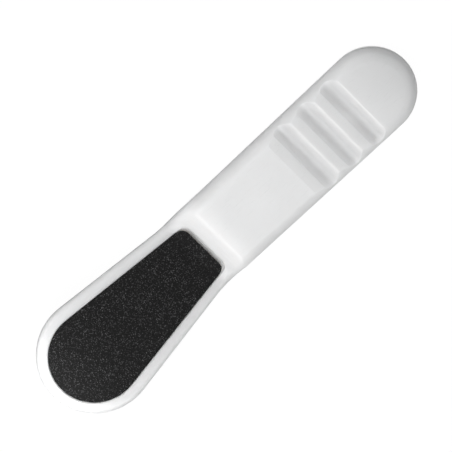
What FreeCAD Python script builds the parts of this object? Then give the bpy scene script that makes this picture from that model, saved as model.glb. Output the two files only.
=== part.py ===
import FreeCAD, Part
import os
from math import acos, atan2, cos, radians, sin, tan

# A two-sided foot file: a flat head with an abrasive sheet on each face, bent up
# from a hollow, thumb-thick handle. Lengths are millimetres, angles degrees.
# While it is drawn, X = 0 is the neck, +X runs to the rounded end of the handle and
# Z = 0 is the middle plane of the handle. The finished pieces stand on Z = 0.

# Plan of the head, measured along its own face, and plan of the handle
head_length = 79.5
head_width = 49.6
neck_width = 35.9
neck_blend_radius = 40.0
handle_length = 120.5
handle_width = 36.9
widening_radius = 600.0

# Side view of the body
handle_thickness = 10.6
head_thickness = 4.2
head_rise_angle = 10.5
head_face_height = 2.0
hollow_radius = 15.0
ramp_angle = 30.0
ramp_arcs_share = 0.95
crown_radius = 9.0
ramp_top_reach = 17.3
rear_bend_radius = 80.0
thumb_rest_angle = 3.0
thumb_bend_radius = 60.0

# Rounded edges
front_roll_radius = 5.0
rear_roll_radius = 3.8
head_front_round_radius = 2.0
head_rear_round_radius = 1.8
recess_edge_chamfer = 0.3

# Saw-tooth grip on the front of the handle
first_crest_reach = 57.1
groove_pitch = 13.0
groove_count = 3
facet_length = 4.4
facet_drop = 0.4
facet_edge_radius = 0.4
groove_corner_depth = 1.9
groove_corner_share = 0.33
scoop_share = 0.9
crest_radius = 4.0

# Hollow of the handle and the joint between the two half shells
wall = 2.4
cavity_start_reach = 21.0
cavity_edge_chamfer = 1.2
lip_width = 0.9
lip_height = 1.6
fit_clearance = 0.1
peg_width = 3.0
peg_boss_width = 6.4
peg_length = 2.4
peg_place_shares = (0.32, 0.72)

# Abrasive sheets and the recesses that they are stuck in
rim_width = 4.6
pad_width = 38.6
pad_end_reach = 8.9
pad_end_width = 24.0
pad_corner_radius = 3.5
rear_pad_setback = 6.0
recess_depth = 1.2
recess_clearance = 0.2
adhesive_thickness = 0.15
backing_thickness = 0.5
grit_thickness = 0.55

# Working allowances
overrun = 20.0
crossing_allowance = 0.02
match_tolerance = 0.005

# Sizes that follow from the ones above
half_thickness = handle_thickness / 2
tip_radius = head_width / 2
end_radius = handle_width / 2
thumb_rest_reach = first_crest_reach + groove_count * groove_pitch
head_slope = radians(head_rise_angle)
ramp_slope = radians(ramp_angle)
drawing_half_width = head_width / 2 + overrun
drawing_left = -head_length - overrun
drawing_right = handle_length + overrun
drawing_height = head_length + overrun


def plan(x, y):
    return FreeCAD.Vector(x, y, 0)


def side(x, z):
    return FreeCAD.Vector(x, 0, z)


# Lines, corners and paths

class Line:
    """A straight run of a side view: a point on it, and the slope of its direction along +X."""

    def __init__(self, point, slope):
        self.point = point
        self.direction = side(cos(slope), sin(slope))
        self.normal = side(-sin(slope), cos(slope))
        self.slope = slope

    def shifted(self, distance):
        return Line(self.point + self.normal * distance, self.slope)

    def at(self, x):
        return self.point + self.direction * ((x - self.point.x) / self.direction.x)

    def meet(self, other):
        gap = other.point - self.point
        along = gap.dot(other.normal) / self.direction.dot(other.normal)
        return self.point + self.direction * along


def tangent_point(start, centre_x, radius, turn):
    """Where the line from start touches a circle about (centre_x, 0); turn picks the side."""
    away = start - plan(centre_x, 0)
    angle = atan2(away.y, away.x) + turn * acos(radius / away.Length)
    return plan(centre_x + radius * cos(angle), radius * sin(angle))


def rounded_path(points, radii):
    """Edges through the points, with a tangent arc of the given radius at each inner corner."""
    edges = []
    start = points[0]
    for before, corner, after, radius in zip(points, points[1:], points[2:], radii):
        arriving = (corner - before).normalize()
        leaving = (after - corner).normalize()
        half_turn = arriving.getAngle(leaving) / 2
        arc_start = corner - arriving * (radius * tan(half_turn))
        arc_end = corner + leaving * (radius * tan(half_turn))
        inward = (leaving - arriving).normalize()
        arc_middle = corner + inward * (radius / cos(half_turn) - radius)
        edges.append(Part.makeLine(start, arc_start))
        edges.append(Part.Arc(arc_start, arc_middle, arc_end).toShape())
        start = arc_end
    edges.append(Part.makeLine(start, points[-1]))
    return edges


def mirrored(points):
    return [plan(point.x, -point.y) for point in reversed(points)]


def prism(edges, bottom, top):
    """A plan outline raised from one height to another."""
    face = Part.Face(Part.Wire(edges))
    face.translate(FreeCAD.Vector(0, 0, bottom))
    return face.extrude(FreeCAD.Vector(0, 0, top - bottom))


def upright_prism(edges):
    return prism(edges, -drawing_height, drawing_height)


def head_prism(edges):
    """An outline drawn on the front face of the head and raised square to it."""
    solid = upright_prism(edges)
    solid.rotate(side(0, 0), FreeCAD.Vector(0, 1, 0), head_rise_angle)
    solid.translate(side(0, head_face_height))
    return solid


# Side view: the front and rear faces, each at any distance outside or inside the real one

head_front = Line(side(0, head_face_height), -head_slope)
handle_front = Line(side(0, half_thickness), 0)
ramp_corner = side(ramp_top_reach - crown_radius * tan(ramp_slope / 2), half_thickness)
ramp = Line(ramp_corner, ramp_slope)
thumb_front = Line(side(thumb_rest_reach, half_thickness), -radians(thumb_rest_angle))
head_rear = head_front.shifted(-head_thickness)
handle_rear = Line(side(0, -half_thickness), 0)

# The two arcs of the ramp share its length, so both shrink together on a low ramp
hollow_corner = head_front.meet(ramp)
ramp_length = (ramp_corner - hollow_corner).Length
arcs_length = hollow_radius * tan((head_slope + ramp_slope) / 2) + crown_radius * tan(ramp_slope / 2)
arc_scale = min(1, ramp_length * ramp_arcs_share / arcs_length)
hollow_arc = hollow_radius * arc_scale
crown_arc = crown_radius * arc_scale


def front_path(outward):
    head = head_front.shifted(outward)
    slope = ramp.shifted(outward)
    top = handle_front.shifted(outward)
    thumb = thumb_front.shifted(outward)
    points = [head.at(drawing_left), head.meet(slope), slope.meet(top),
              top.meet(thumb), thumb.at(drawing_right)]
    return rounded_path(points, [hollow_arc - outward, crown_arc + outward, thumb_bend_radius + outward])


def rear_path(outward):
    head = head_rear.shifted(-outward)
    bottom = handle_rear.shifted(-outward)
    points = [head.at(drawing_left), head.meet(bottom), bottom.at(drawing_right)]
    return rounded_path(points, [rear_bend_radius + outward])


def parting_path():
    """The seam of the two shells: mid-head, then up under the ramp to mid-handle."""
    head = head_front.shifted(-head_thickness / 2)
    dip = head.at(hollow_corner.x)
    rise_end = side(cavity_start_reach - wall, 0)
    return [Part.makeLine(head.at(drawing_left), dip),
            Part.makeLine(dip, rise_end),
            Part.makeLine(rise_end, side(drawing_right, 0))]


def level_path(height):
    return [Part.makeLine(side(drawing_left, height), side(drawing_right, height))]


def path_ends(path):
    return path[0].firstVertex().Point, path[-1].lastVertex().Point


def path_height(path):
    return path[0].firstVertex().Z


def slab(lower, upper):
    """Everything between two side-view paths, drawn right across the width."""
    lower_left, lower_right = path_ends(lower)
    upper_left, upper_right = path_ends(upper)
    closing = [Part.makeLine(lower_right, upper_right), Part.makeLine(upper_left, lower_left)]
    outline = Part.sortEdges(lower + upper + closing)[0]
    face = Part.Face(Part.Wire(outline))
    face.translate(FreeCAD.Vector(0, -drawing_half_width, 0))
    return face.extrude(FreeCAD.Vector(0, 2 * drawing_half_width, 0))


def sheet_surface(path):
    surface = Part.Wire(path).extrude(FreeCAD.Vector(0, 2 * drawing_half_width, 0))
    surface.translate(FreeCAD.Vector(0, -drawing_half_width, 0))
    return surface


# Plan views

tip_centre = tip_radius - head_length
end_centre = handle_length - end_radius
side_widening = plan(ramp_top_reach, neck_width / 2)
side_touch = tangent_point(side_widening, end_centre, end_radius, -1)


def head_outline():
    """Round tip and straight flanks, blended at the neck into the parallel sides of the handle."""
    neck = plan(0, neck_width / 2)
    touch = tangent_point(neck, tip_centre, tip_radius, 1)
    points = [touch, neck, plan(drawing_right, neck.y)]
    upper = rounded_path(points, [neck_blend_radius])
    lower = rounded_path(mirrored(points), [neck_blend_radius])
    across = Part.makeLine(points[-1], plan(drawing_right, -neck.y))
    tip_arc = Part.Arc(plan(touch.x, -touch.y), plan(-head_length, 0), touch).toShape()
    return upper + [across] + lower + [tip_arc]


def handle_outline():
    """Sides that leave the neck parallel, then widen a little to the round end."""
    points = [plan(drawing_left, side_widening.y), side_widening, side_touch]
    upper = rounded_path(points, [widening_radius])
    lower = rounded_path(mirrored(points), [widening_radius])
    end_arc = Part.Arc(side_touch, plan(handle_length, 0), plan(side_touch.x, -side_touch.y)).toShape()
    across = Part.makeLine(plan(drawing_left, -side_widening.y), points[0])
    return upper + [end_arc] + lower + [across]


def hollow_outline(inset):
    """The hollow stretch of the handle, drawn in from the outside, with a straight front end."""
    outward = (side_touch - plan(end_centre, 0)).normalize()
    run = (side_touch - side_widening).normalize()
    side_end = side_touch - outward * inset
    front = cavity_start_reach + inset - wall
    side_start = side_end - run * ((side_end.x - front) / run.x)
    low_end, low_start = mirrored([side_start, side_end])
    return [Part.makeLine(side_start, side_end),
            Part.Arc(side_end, plan(handle_length - inset, 0), low_end).toShape(),
            Part.makeLine(low_end, low_start),
            Part.makeLine(low_start, side_start)]


def pad_outline(end_reach, margin):
    """A teardrop: a round front along the tip, straight flanks and a straight end with round corners."""
    centre = plan(rim_width - head_length + pad_width / 2, 0)
    flank_end = plan(pad_end_reach, pad_end_width / 2)
    touch = tangent_point(flank_end, centre.x, pad_width / 2, 1)
    outward = (touch - centre).normalize()
    flank = (flank_end - touch).normalize()
    start = touch + outward * margin
    corner = start + flank * ((end_reach + margin - start.x) / flank.x)
    points = [start, corner, plan(corner.x, -corner.y), plan(start.x, -start.y)]
    corner_radius = pad_corner_radius + margin
    path = rounded_path(points, [corner_radius, corner_radius])
    front = centre.x - pad_width / 2 - margin
    return path + [Part.Arc(points[-1], plan(front, 0), start).toShape()]


# The outer form of the moulded body

def on_both(shape, first, second):
    """Edges of the shape that lie on both of two surfaces, with their numbers."""
    found = []
    for number, edge in enumerate(shape.Edges, start=1):
        middle = Part.Vertex(edge.valueAt((edge.FirstParameter + edge.LastParameter) / 2))
        if max(middle.distToShape(first)[0], middle.distToShape(second)[0]) < match_tolerance:
            found.append((number, edge))
    return found


def grown(x, head_size, handle_size, start, end):
    """Small round on the head, growing along the neck to the full roll of the handle."""
    share = min(1, max(0, (x - start) / (end - start)))
    return head_size + (handle_size - head_size) * share


def rolled(shape, path, walls, sizes, growth_start, growth_end):
    """The shape with the edge between one face and its walls rounded all the way round."""
    edges = on_both(shape, sheet_surface(path), walls)
    edges.sort(key=lambda found: found[1].Orientation)
    lead = edges[0][1]
    lead_start = lead.valueAt(lead.FirstParameter)
    lead_end = lead.valueAt(lead.LastParameter)
    clockwise = (lead_end.x - lead_start.x) * lead_start.y > 0
    rounds = []
    for number, edge in edges:
        reaches = sorted(vertex.X for vertex in edge.Vertexes)
        radii = [grown(x, *sizes, growth_start, growth_end) for x in (reaches[0], reaches[-1])]
        if (edge.CenterOfMass.y > 0) != clockwise:
            radii.reverse()
        rounds.append((number, radii[0], radii[1]))
    document = FreeCAD.newDocument()
    block = document.addObject("Part::Feature")
    block.Shape = shape
    fillet = document.addObject("Part::Fillet")
    fillet.Base = block
    fillet.Edges = rounds
    document.recompute()
    finished = fillet.Shape.copy()
    FreeCAD.closeDocument(document.Name)
    return finished


def upright_faces(shape):
    return Part.Compound([face for face in shape.Faces if abs(face.normalAt(0, 0).z) < cos(ramp_slope)])


def outer_body():
    """Head and handle drawn square to their own faces, and met where both have parallel sides."""
    profile = slab(rear_path(0), front_path(0))
    meeting = hollow_corner.x
    size = FreeCAD.Vector(drawing_right - drawing_left, 2 * drawing_half_width, 2 * drawing_height)
    head_side = Part.makeBox(size.x, size.y, size.z,
                             FreeCAD.Vector(meeting - size.x, -drawing_half_width, -drawing_height))
    head_form = head_prism(head_outline()).common(head_side)
    handle_form = upright_prism(handle_outline()).cut(head_side)
    outline = head_form.fuse(handle_form).removeSplitter()
    body = outline.common(profile).removeSplitter()
    walls = upright_faces(outline)
    hollow = front_path(0)[1]
    bend = rear_path(0)[1]
    front_sizes = (head_front_round_radius, front_roll_radius)
    rear_sizes = (head_rear_round_radius, rear_roll_radius)
    body = rolled(body, front_path(0), walls, front_sizes, hollow.firstVertex().X, ramp_top_reach)
    return rolled(body, rear_path(0), walls, rear_sizes, bend.firstVertex().X, bend.lastVertex().X)


def grip_cutter():
    """Saw teeth side by side: a shallow facet, a crisp edge and a scoop that rises to the next crest.

    The scoop's arc takes up the given share of the steep wall below the edge.
    """
    crest = side(first_crest_reach, half_thickness)
    above = side(first_crest_reach, half_thickness + overrun)
    thumb = thumb_front.shifted(crossing_allowance)
    points = [crest]
    radii = []
    for number in range(1, groove_count + 1):
        lip = crest + side(facet_length, -facet_drop)
        crest = side(first_crest_reach + number * groove_pitch, half_thickness)
        corner = side(lip.x + (crest.x - lip.x) * groove_corner_share, half_thickness - groove_corner_depth)
        steep = corner - lip
        scoop_radius = steep.Length * scoop_share / tan(steep.getAngle(crest - corner) / 2)
        points += [lip, corner, crest]
        radii += [facet_edge_radius, scoop_radius, crest_radius]
    points[-1] = thumb.at(crest.x)
    points.append(thumb.at(crest.x + groove_pitch))
    edges = rounded_path(points, radii)
    closing = side(points[-1].x, above.z)
    edges += [Part.makeLine(points[-1], closing), Part.makeLine(closing, above), Part.makeLine(above, points[0])]
    face = Part.Face(Part.Wire(edges))
    face.translate(FreeCAD.Vector(0, -drawing_half_width, 0))
    return face.extrude(FreeCAD.Vector(0, 2 * drawing_half_width, 0))


def cavity():
    height = half_thickness - wall
    inside = prism(hollow_outline(wall), -height, height)
    rims = [edge for edge in inside.Edges if abs(abs(edge.CenterOfMass.z) - height) < match_tolerance]
    return inside.makeChamfer(cavity_edge_chamfer, rims)


# Square locating pegs of the joint

def peg_places():
    return [plan(handle_length * share, 0) for share in peg_place_shares]


def post(place, width, bottom, top):
    base = place + FreeCAD.Vector(-width / 2, -width / 2, bottom)
    return Part.makeBox(width, width, top - bottom, base)


# The two half shells

def recessed(shell, end_reach, face_path, pocket):
    """The shell with the pocket for one sheet cut in, and the rim of the pocket softened."""
    outline = head_prism(pad_outline(end_reach, recess_clearance))
    shell = shell.cut(outline.common(pocket))
    rim = [edge for _, edge in on_both(shell, sheet_surface(face_path), upright_faces(outline))]
    return shell.makeChamfer(recess_edge_chamfer, rim)


def front_shell(body):
    shell = body.common(slab(parting_path(), level_path(drawing_height)))
    pocket = slab(front_path(-recess_depth), level_path(drawing_height))
    shell = recessed(shell, pad_end_reach, front_path(0), pocket)
    rebate = prism(hollow_outline(wall - lip_width - fit_clearance), -overrun, lip_height + fit_clearance)
    shell = shell.cut(grip_cutter()).cut(cavity()).cut(rebate)
    ceiling = half_thickness - (wall + groove_corner_depth) / 2
    for place in peg_places():
        boss = post(place, peg_boss_width, fit_clearance, ceiling)
        hole = post(place, peg_width + 2 * fit_clearance, 0, peg_length + fit_clearance)
        shell = shell.fuse(boss).cut(hole)
    return shell.removeSplitter()


def rear_shell(body):
    shell = body.common(slab(level_path(-drawing_height), parting_path()))
    pocket = slab(level_path(-drawing_height), rear_path(-recess_depth))
    shell = recessed(shell, -rear_pad_setback, rear_path(0), pocket)
    lip = prism(hollow_outline(wall - lip_width), -lip_height, lip_height)
    shell = shell.cut(cavity()).fuse(lip.cut(prism(hollow_outline(wall), -overrun, overrun)))
    floor = wall / 2 - half_thickness
    for place in peg_places():
        boss = post(place, peg_boss_width, floor, 0)
        peg = post(place, peg_width, 0, peg_length)
        shell = shell.fuse(boss).fuse(peg)
    return shell.removeSplitter()


# The abrasive sheets, layer on layer in their recesses

def sheet_layers(path, end_reach):
    """Adhesive film, backing and grit coat of one sheet, from the recess floor outwards."""
    outline = head_prism(pad_outline(end_reach, 0))
    layers = {}
    level = -recess_depth
    for name, thickness in (("adhesive", adhesive_thickness),
                            ("backing", backing_thickness),
                            ("grit", grit_thickness)):
        layer = slab(*sorted([path(level), path(level + thickness)], key=path_height))
        layers[name] = outline.common(layer)
        level += thickness
    return layers


def all_pieces():
    body = outer_body()
    pieces = {"front_shell": front_shell(body), "rear_shell": rear_shell(body)}
    for face_name, path, end_reach in (("front", front_path, pad_end_reach),
                                       ("rear", rear_path, -rear_pad_setback)):
        for layer_name, layer in sheet_layers(path, end_reach).items():
            pieces[face_name + "_" + layer_name] = layer
    return pieces


os.makedirs("parts", exist_ok=True)
finished = all_pieces()
whole = Part.Compound(list(finished.values())).optimalBoundingBox(False)
to_origin = FreeCAD.Vector(-whole.Center.x, 0, half_thickness)
for name, piece in finished.items():
    solid = piece.Solids[0] if len(piece.Solids) == 1 else piece
    solid.translate(to_origin)
    solid.exportStep(os.path.join("parts", name + ".step"))
    print(name, len(piece.Solids), "solid", round(piece.Volume), "mm3", "valid", piece.isValid())
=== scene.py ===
import math

import bmesh
import bpy
from mathutils import Matrix, Vector


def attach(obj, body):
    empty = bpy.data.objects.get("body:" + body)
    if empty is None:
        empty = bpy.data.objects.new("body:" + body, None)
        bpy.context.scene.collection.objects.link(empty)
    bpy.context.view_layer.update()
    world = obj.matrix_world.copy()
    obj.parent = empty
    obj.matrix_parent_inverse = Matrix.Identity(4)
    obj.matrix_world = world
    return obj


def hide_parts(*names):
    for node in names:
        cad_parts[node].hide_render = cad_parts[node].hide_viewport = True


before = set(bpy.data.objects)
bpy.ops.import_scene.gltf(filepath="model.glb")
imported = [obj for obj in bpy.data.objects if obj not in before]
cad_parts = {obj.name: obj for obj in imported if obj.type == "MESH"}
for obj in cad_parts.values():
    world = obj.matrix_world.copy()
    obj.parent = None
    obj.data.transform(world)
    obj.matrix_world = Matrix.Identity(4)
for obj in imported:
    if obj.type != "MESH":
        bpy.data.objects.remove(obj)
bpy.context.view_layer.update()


# Shells of the body: two injection mouldings of milky white plastic, welded along the
# seam round the middle of the edge. The mould left them a soft gloss and a very faint
# ripple, and handling has rubbed hair-fine marks along them.

millimetre = 0.001


def put(tree, kind, sockets=None, **settings):
    """Adds a node. Each socket gets a value, or the output of another node to follow."""
    node = tree.nodes.new(kind)
    for name, value in settings.items():
        setattr(node, name, value)
    for name, value in (sockets or {}).items():
        if isinstance(value, bpy.types.NodeSocket):
            tree.links.new(value, node.inputs[name])
        else:
            node.inputs[name].default_value = value
    return node


def empty_material(name):
    """A new material with only its output, and the piece's own coordinates to draw from."""
    material = bpy.data.materials.new(name)
    material.use_nodes = True
    tree = material.node_tree
    tree.nodes.clear()
    place = put(tree, "ShaderNodeTexCoord").outputs["Object"]
    return material, tree, place


def finish_material(tree, shader):
    put(tree, "ShaderNodeOutputMaterial", {"Surface": shader.outputs["BSDF"]})


def wear(node, material):
    """Gives a piece one material in all its slots."""
    node.data.materials.clear()
    node.data.materials.append(material)


def mottle_group():
    """Soft uneven patches: a value from low to high that drifts over the surface at one grain size."""
    noise_detail = 3.0
    noise_roughness = 0.55
    noise_low = 0.3
    noise_high = 0.7
    group = bpy.data.node_groups.new("mottle", "ShaderNodeTree")
    for name, kind, way in (("Place", "NodeSocketVector", "INPUT"),
                            ("Grain", "NodeSocketFloat", "INPUT"),
                            ("Low", "NodeSocketFloat", "INPUT"),
                            ("High", "NodeSocketFloat", "INPUT"),
                            ("Value", "NodeSocketFloat", "OUTPUT")):
        group.interface.new_socket(name=name, in_out=way, socket_type=kind)
    given = put(group, "NodeGroupInput").outputs
    scale = put(group, "ShaderNodeMath", {0: 1.0, 1: given["Grain"]}, operation="DIVIDE")
    noise = put(group, "ShaderNodeTexNoise", {
        "Vector": given["Place"], "Scale": scale.outputs[0],
        "Detail": noise_detail, "Roughness": noise_roughness})
    spread = put(group, "ShaderNodeMapRange", {
        "Value": noise.outputs["Fac"], "From Min": noise_low, "From Max": noise_high,
        "To Min": given["Low"], "To Max": given["High"]})
    put(group, "NodeGroupOutput", {"Value": spread.outputs["Result"]})
    return group


mottle = mottle_group()


def mottled(tree, place, grain, low, high):
    """The mottle group placed in a material, as a value from low to high."""
    node = put(tree, "ShaderNodeGroup", node_tree=mottle)
    tree.links.new(place, node.inputs["Place"])
    for name, value in (("Grain", grain), ("Low", low), ("High", high)):
        node.inputs[name].default_value = value
    return node.outputs["Value"]


def milky_plastic():
    cloud_grain = 14 * millimetre
    ripple_grain = 1.6 * millimetre
    ripple_height = 0.004 * millimetre
    rub_stretch = (0.06, 1.0, 1.0)
    rub_grain = 0.35 * millimetre
    smooth_roughness = 0.26
    rubbed_roughness = 0.36
    plastic_ior = 1.5
    clear_white = (0.936, 0.930, 0.930, 1)
    cloudy_white = (0.922, 0.914, 0.915, 1)
    scatter_depth = 5 * millimetre
    scatter_by_colour = (1.0, 0.98, 0.97)
    material, tree, place = empty_material("milky_plastic")
    cloud = mottled(tree, place, cloud_grain, 0.0, 1.0)
    colour = put(tree, "ShaderNodeMix", {"Factor": cloud, "A": clear_white, "B": cloudy_white},
                 data_type="RGBA")
    along = put(tree, "ShaderNodeMapping", {"Vector": place, "Scale": rub_stretch})
    rubbed = mottled(tree, along.outputs["Vector"], rub_grain, smooth_roughness, rubbed_roughness)
    ripple = mottled(tree, place, ripple_grain, 0.0, 1.0)
    bump = put(tree, "ShaderNodeBump", {"Height": ripple, "Distance": ripple_height})
    shader = put(tree, "ShaderNodeBsdfPrincipled", {
        "Base Color": colour.outputs["Result"], "Roughness": rubbed,
        "Normal": bump.outputs["Normal"], "IOR": plastic_ior, "Subsurface Weight": 1.0,
        "Subsurface Scale": scatter_depth, "Subsurface Radius": scatter_by_colour})
    finish_material(tree, shader)
    return material


shell_plastic = milky_plastic()
for shell_name in ("rear_shell", "front_shell"):
    wear(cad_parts[shell_name], shell_plastic)


# Adhesive films: double-sided tape of clear acrylic, pressed on the floor of each recess.
# Only its cut edge shows, in the hair-wide gap round the sheet and in the wider gap that
# the front sheet leaves before the ramp.

def tape():
    streak_grain = 2.5 * millimetre
    clear_amber = (0.62, 0.55, 0.42, 1)
    dull_amber = (0.5, 0.42, 0.3, 1)
    clear_roughness = 0.25
    dull_roughness = 0.45
    material, tree, place = empty_material("clear_tape")
    streak = mottled(tree, place, streak_grain, 0.0, 1.0)
    colour = put(tree, "ShaderNodeMix", {"Factor": streak, "A": clear_amber, "B": dull_amber},
                 data_type="RGBA")
    gloss = mottled(tree, place, streak_grain, clear_roughness, dull_roughness)
    shader = put(tree, "ShaderNodeBsdfPrincipled", {
        "Base Color": colour.outputs["Result"], "Roughness": gloss})
    finish_material(tree, shader)
    return material


def merged_copy(node_name, piece_name):
    """A new piece with a node's mesh, its loose triangles joined up."""
    join_distance = 0.002 * millimetre
    mesh = bpy.data.meshes.new(piece_name)
    shape = bmesh.new()
    shape.from_mesh(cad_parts[node_name].data)
    bmesh.ops.remove_doubles(shape, verts=shape.verts, dist=join_distance)
    for face in shape.faces:
        face.smooth = False
    shape.to_mesh(mesh)
    shape.free()
    piece = bpy.data.objects.new(piece_name, mesh)
    bpy.context.scene.collection.objects.link(piece)
    return piece


def set_back(piece):
    """Draws the straight end of a front layer back from the ramp, which leaves a gap there."""
    end_reach = -17 * millimetre
    gap = 1.5 * millimetre
    for vertex in piece.data.vertices:
        if vertex.co.x > end_reach:
            vertex.co.x -= gap


def stand_in(piece, node_name):
    """Puts a finished piece on the file in place of a node."""
    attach(piece, "root")
    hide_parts(node_name)


def front_layer(node_name, piece_name, material):
    """A layer of the front sheet, drawn back from the ramp."""
    piece = merged_copy(node_name, piece_name)
    set_back(piece)
    wear(piece, material)
    stand_in(piece, node_name)


tape_film = tape()
wear(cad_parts["rear_adhesive"], tape_film)
front_layer("front_adhesive", "front_adhesive_film", tape_film)


# Backings: cotton cloth dyed black and stiffened with resin, cut with the grit coat on
# it and laid on the tape. Its woven edge shows beside the coat.

def resin_cloth():
    thread = 0.28 * millimetre
    dark_thread = (0.012, 0.011, 0.011, 1)
    pale_thread = (0.045, 0.042, 0.04, 1)
    thread_height = 0.03 * millimetre
    thread_waver = 0.6
    resin_grain = 4 * thread
    soaked_roughness = 0.65
    dry_roughness = 0.9
    material, tree, place = empty_material("resin_cloth")
    ways = []
    for way in ("X", "Y"):
        wave = put(tree, "ShaderNodeTexWave", {
            "Vector": place, "Scale": 1 / thread, "Distortion": thread_waver}, bands_direction=way)
        ways.append(wave.outputs["Fac"])
    weave = put(tree, "ShaderNodeMath", {0: ways[0], 1: ways[1]}, operation="MULTIPLY")
    colour = put(tree, "ShaderNodeMix", {
        "Factor": weave.outputs[0], "A": dark_thread, "B": pale_thread}, data_type="RGBA")
    bump = put(tree, "ShaderNodeBump", {"Height": weave.outputs[0], "Distance": thread_height})
    stiff = mottled(tree, place, resin_grain, soaked_roughness, dry_roughness)
    shader = put(tree, "ShaderNodeBsdfPrincipled", {
        "Base Color": colour.outputs["Result"], "Roughness": stiff, "Normal": bump.outputs["Normal"]})
    finish_material(tree, shader)
    return material


backing_cloth = resin_cloth()
wear(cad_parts["rear_backing"], backing_cloth)
front_layer("front_backing", "front_backing_cloth", backing_cloth)


# Grit coats: sharp black mineral grains sunk in a bed of dark resin, coarse on the front
# sheet and fine on the rear one. The grains stand up to the height of the whole coat.

def grains_tree():
    """Grains of three shapes strewn over the outer face of a coat, in a bed that they rise from."""
    outer_cosine = 0.6
    top_radius = 0.12
    foot_radius = 0.62
    sides_and_heights = ((3, 1.5), (4, 1.2), (5, 1.0))
    least_stretch = (0.6,) * 3
    most_stretch = (1.25,) * 3
    full_turns = (2 * math.pi,) * 3
    darkest_tone = 0.15
    tree = bpy.data.node_groups.new("strewn_grains", "GeometryNodeTree")
    for name, kind in (("Coat", "NodeSocketGeometry"), ("Outward", "NodeSocketVector"),
                       ("Bed Drop", "NodeSocketFloat"), ("Grain Size", "NodeSocketFloat"),
                       ("Spacing", "NodeSocketFloat"), ("Seed", "NodeSocketInt"),
                       ("Finish", "NodeSocketMaterial")):
        tree.interface.new_socket(name=name, in_out="INPUT", socket_type=kind)
    tree.interface.new_socket(name="Coat", in_out="OUTPUT", socket_type="NodeSocketGeometry")
    given = put(tree, "NodeGroupInput").outputs

    normal = put(tree, "GeometryNodeInputNormal").outputs["Normal"]
    facing = put(tree, "ShaderNodeVectorMath", {0: normal, 1: given["Outward"]},
                 operation="DOT_PRODUCT")
    outer = put(tree, "FunctionNodeCompare", {"A": facing.outputs["Value"], "B": outer_cosine},
                operation="GREATER_THAN")
    drop = put(tree, "ShaderNodeVectorMath", {0: given["Outward"], "Scale": given["Bed Drop"]},
               operation="SCALE")
    outer_face = put(tree, "GeometryNodeFieldOnDomain", {"Value": outer.outputs["Result"]},
                     data_type="BOOLEAN", domain="FACE")
    lowered = put(tree, "GeometryNodeSetPosition", {
        "Geometry": given["Coat"], "Selection": outer_face.outputs["Value"],
        "Offset": drop.outputs["Vector"]})
    grains_per_area = put(tree, "ShaderNodeMath", {0: given["Spacing"], 1: -2.0}, operation="POWER")
    points = put(tree, "GeometryNodeDistributePointsOnFaces", {
        "Mesh": lowered.outputs["Geometry"], "Selection": outer_face.outputs["Value"],
        "Distance Min": given["Spacing"], "Density Max": grains_per_area.outputs[0],
        "Seed": given["Seed"]}, distribute_method="POISSON")

    shapes = put(tree, "GeometryNodeJoinGeometry")
    for sides, height in sides_and_heights:
        sink = height / 3
        grain = put(tree, "GeometryNodeMeshCone", {
            "Vertices": sides, "Radius Top": top_radius, "Radius Bottom": foot_radius, "Depth": height})
        sunk = put(tree, "GeometryNodeTransform", {
            "Geometry": grain.outputs["Mesh"], "Translation": (0, 0, -sink)})
        single = put(tree, "GeometryNodeGeometryToInstance", {"Geometry": sunk.outputs["Geometry"]})
        tree.links.new(single.outputs["Instances"], shapes.inputs["Geometry"])

    turn = put(tree, "FunctionNodeRandomValue", {"Max": full_turns, "Seed": given["Seed"]},
               data_type="FLOAT_VECTOR")
    stretch = put(tree, "FunctionNodeRandomValue", {
        "Min": least_stretch, "Max": most_stretch, "Seed": given["Seed"]}, data_type="FLOAT_VECTOR")
    size = put(tree, "ShaderNodeVectorMath", {
        0: stretch.outputs["Value"], "Scale": given["Grain Size"]}, operation="SCALE")
    strewn = put(tree, "GeometryNodeInstanceOnPoints", {
        "Points": points.outputs["Points"], "Instance": shapes.outputs["Geometry"],
        "Pick Instance": True, "Rotation": turn.outputs["Value"], "Scale": size.outputs["Vector"]})
    tone = put(tree, "FunctionNodeRandomValue", {
        "Min": darkest_tone, "Max": 1.0, "Seed": given["Seed"]}, data_type="FLOAT")
    toned = put(tree, "GeometryNodeStoreNamedAttribute", {
        "Geometry": strewn.outputs["Instances"], "Name": "grain_tone", "Value": tone.outputs[1]},
        data_type="FLOAT", domain="INSTANCE")
    coat = put(tree, "GeometryNodeJoinGeometry")
    tree.links.new(lowered.outputs["Geometry"], coat.inputs["Geometry"])
    tree.links.new(toned.outputs["Geometry"], coat.inputs["Geometry"])
    solid = put(tree, "GeometryNodeRealizeInstances", {"Geometry": coat.outputs["Geometry"]})
    dressed = put(tree, "GeometryNodeSetMaterial", {
        "Geometry": solid.outputs["Geometry"], "Material": given["Finish"]})
    put(tree, "NodeGroupOutput", {"Coat": dressed.outputs["Geometry"]})
    return tree


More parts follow.
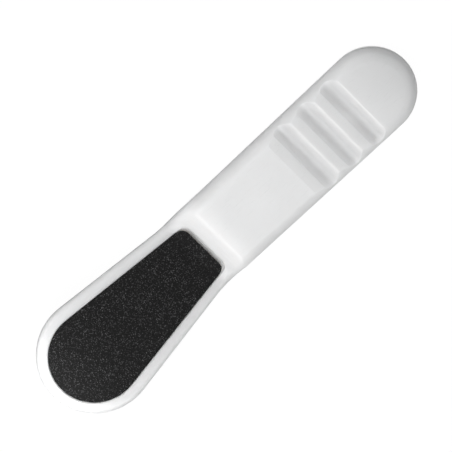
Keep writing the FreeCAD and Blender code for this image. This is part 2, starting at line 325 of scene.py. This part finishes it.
def black_grit(name, patch_grain, clump_grain):
    """Resin bed and grains in one finish: a grain's own tone, and the clump that it lies in,
    set how far its colour rises from the bed's, and its tone sets its shine."""
    bed_black = (0.006, 0.006, 0.006, 1)
    grain_black = (0.085, 0.085, 0.086, 1)
    worn_grain = (0.137, 0.137, 0.14, 1)
    tone_power = 1.3
    sparse_clump = 0.4
    dense_clump = 1.6
    dark_roughness = 0.75
    bright_roughness = 0.3
    shine_level = 0.2
    material, tree, place = empty_material(name)
    tone = put(tree, "ShaderNodeAttribute", attribute_name="grain_tone").outputs["Fac"]
    patch = mottled(tree, place, patch_grain, 0.0, 1.0)
    bright = put(tree, "ShaderNodeMix", {"Factor": patch, "A": grain_black, "B": worn_grain},
                 data_type="RGBA")
    rising = put(tree, "ShaderNodeMath", {0: tone, 1: tone_power}, operation="POWER")
    clump = mottled(tree, place, clump_grain, sparse_clump, dense_clump)
    clumped = put(tree, "ShaderNodeMath", {0: rising.outputs[0], 1: clump}, operation="MULTIPLY")
    colour = put(tree, "ShaderNodeMix", {
        "Factor": clumped.outputs[0], "A": bed_black, "B": bright.outputs["Result"]}, data_type="RGBA")
    shine = put(tree, "ShaderNodeMapRange", {
        "Value": tone, "To Min": dark_roughness, "To Max": bright_roughness})
    shader = put(tree, "ShaderNodeBsdfPrincipled", {
        "Base Color": colour.outputs["Result"], "Roughness": shine.outputs["Result"],
        "Specular IOR Level": shine_level})
    finish_material(tree, shader)
    return material


strewn_grains = grains_tree()


def grit_coat(piece, node_name, slot_name, outward, grain_size, spacing, seed):
    """Strews grains over a copy of a plain coat and puts it in place of the node."""
    patch_grain = 12 * grain_size
    clump_grain = 1.6 * grain_size
    bed_drop = -grain_size / 2
    finish = black_grit("black_" + slot_name, patch_grain, clump_grain)
    modifier = piece.modifiers.new("strewn_grains", "NODES")
    modifier.node_group = strewn_grains
    values = {"Outward": outward, "Bed Drop": bed_drop, "Grain Size": grain_size,
              "Spacing": spacing, "Seed": seed, "Finish": finish}
    for item in strewn_grains.interface.items_tree:
        if item.in_out == "INPUT" and item.name in values:
            modifier[item.identifier] = values[item.name]
    settled = piece.evaluated_get(bpy.context.evaluated_depsgraph_get())
    mesh = bpy.data.meshes.new_from_object(settled)
    piece.modifiers.clear()
    piece.data = mesh
    stand_in(piece, node_name)


front_coat = merged_copy("front_grit", "front_grit_grains")
set_back(front_coat)
grit_coat(front_coat, "front_grit", "coarse_grit", outward=(0.0, 0.0, 1.0),
          grain_size=0.45 * millimetre, spacing=0.42 * millimetre, seed=7)
rear_coat = merged_copy("rear_grit", "rear_grit_grains")
grit_coat(rear_coat, "rear_grit", "fine_grit", outward=(0.0, 0.0, -1.0),
          grain_size=0.26 * millimetre, spacing=0.3 * millimetre, seed=11)


# Studio: a plain white floor that glows as bright as the paper in the photo, a grey room
# and large soft panels, strongest from the tip's side, so that faces turned to the tip are
# the brightest, with a small panel close over the tip.

def white_floor():
    """Paper a hair below the file, which the camera sees brighter than it lights the file."""
    half_side = 3000 * millimetre
    level = -0.02 * millimetre
    paper_colour = (0.06, 0.06, 0.06, 1)
    paper_grain = 400 * millimetre
    smooth_roughness = 0.7
    fibrous_roughness = 0.8
    glow_white = (1, 1, 1, 1)
    seen_glow = 0.96
    cast_glow = 0.66
    mesh = bpy.data.meshes.new("floor")
    corners = [(-half_side, -half_side, level), (half_side, -half_side, level),
               (half_side, half_side, level), (-half_side, half_side, level)]
    mesh.from_pydata(corners, [], [(0, 1, 2, 3)])
    floor = bpy.data.objects.new("floor", mesh)
    bpy.context.scene.collection.objects.link(floor)
    material, tree, place = empty_material("white_floor")
    paper = mottled(tree, place, paper_grain, smooth_roughness, fibrous_roughness)
    seen = put(tree, "ShaderNodeLightPath").outputs["Is Camera Ray"]
    glow = put(tree, "ShaderNodeMapRange", {"Value": seen, "To Min": cast_glow, "To Max": seen_glow})
    shader = put(tree, "ShaderNodeBsdfPrincipled", {
        "Base Color": paper_colour, "Roughness": paper, "Specular IOR Level": 0.0,
        "Emission Color": glow_white, "Emission Strength": glow.outputs["Result"]})
    finish_material(tree, shader)
    wear(floor, material)


def square_light(name, side, watts, place):
    """A square panel of soft light that faces straight down."""
    light = bpy.data.lights.new(name, "AREA")
    light.shape = "SQUARE"
    light.size = side
    light.energy = watts
    panel = bpy.data.objects.new(name, light)
    panel.location = place
    bpy.context.scene.collection.objects.link(panel)
    return panel


def soft_panel(name, azimuth, elevation, watts):
    """A large panel a metre off that faces the file, at an azimuth counted from +X."""
    side = 300 * millimetre
    distance = 1000 * millimetre
    turn = math.radians(azimuth)
    rise = math.radians(elevation)
    level_share = math.cos(rise)
    away = Vector((math.cos(turn) * level_share, math.sin(turn) * level_share, math.sin(rise)))
    panel = square_light(name, side, watts, away * distance)
    panel.rotation_euler = away.to_track_quat("Z", "Y").to_euler()


def tip_panel():
    """A small panel close over the tip, out of the camera's sight, which whitens the rim there."""
    side = 40 * millimetre
    watts = 0.009
    place = (-102 * millimetre, 0, 42 * millimetre)
    panel = square_light("tip_light", side, watts, place)
    panel.visible_camera = False


white_floor()
soft_panel("over_tip", azimuth=180, elevation=72, watts=1.25)
soft_panel("over_right_flank", azimuth=240, elevation=72, watts=0.52)
soft_panel("over_left_flank", azimuth=120, elevation=72, watts=0.67)
soft_panel("tip_key", azimuth=205, elevation=60, watts=1.5)
soft_panel("handle_right", azimuth=315, elevation=50, watts=0.38)
soft_panel("tip_left_low", azimuth=135, elevation=25, watts=1.2)
soft_panel("handle_left_low", azimuth=45, elevation=25, watts=0.6)
tip_panel()


def dimming_room():
    """A grey room, brighter overhead, on the tip's side and on the left flank than elsewhere."""
    even_strength = 0.166
    overhead = (0, 0, 0.31)
    tip_side = (-0.22, 0, 0)
    left_flank = (0, 0.14, 0)
    room_white = (1, 1, 1, 1)
    room = bpy.data.worlds.new("room")
    room.use_nodes = True
    tree = room.node_tree
    way = put(tree, "ShaderNodeTexCoord").outputs["Generated"]
    strength = even_strength
    for brighter_way in (overhead, tip_side, left_flank):
        facing = put(tree, "ShaderNodeVectorMath", {0: way, 1: brighter_way}, operation="DOT_PRODUCT")
        lit = put(tree, "ShaderNodeMath", {0: facing.outputs["Value"], 1: 0.0}, operation="MAXIMUM")
        total = put(tree, "ShaderNodeMath", {0: lit.outputs[0], 1: strength}, operation="ADD")
        strength = total.outputs[0]
    background = tree.nodes["Background"]
    background.inputs["Color"].default_value = room_white
    tree.links.new(strength, background.inputs["Strength"])
    return room


bpy.context.scene.world = dimming_room()
bpy.context.scene.view_settings.view_transform = "Standard"


# Camera: a long lens high over the file, leaning to the handle's end and the left flank,
# and turned so that the tip points down to the left of the frame.

def photo_camera():
    """Places the camera so that the file lies in the frame as in the photo."""
    turn = math.radians(44.18)
    tilt = math.radians(17.2)
    distance = 1323 * millimetre
    frame_pixels = 452
    pixels_per_metre = 2437.0
    origin_right_pixels = 1.47
    origin_up_pixels = 4.51
    right = Vector((math.cos(turn), -math.sin(turn), 0))
    up = Vector((math.sin(turn) * math.cos(tilt), math.cos(turn) * math.cos(tilt), -math.sin(tilt)))
    back = right.cross(up)
    camera_data = bpy.data.cameras.new("camera")
    camera_data.lens = camera_data.sensor_width * distance * pixels_per_metre / frame_pixels
    camera = bpy.data.objects.new("camera", camera_data)
    place = back * distance
    place -= right * (origin_right_pixels / pixels_per_metre)
    place -= up * (origin_up_pixels / pixels_per_metre)
    turned = Matrix((right, up, back)).transposed()
    camera.matrix_world = Matrix.Translation(place) @ turned.to_4x4()
    bpy.context.scene.collection.objects.link(camera)
    bpy.context.scene.camera = camera


photo_camera()
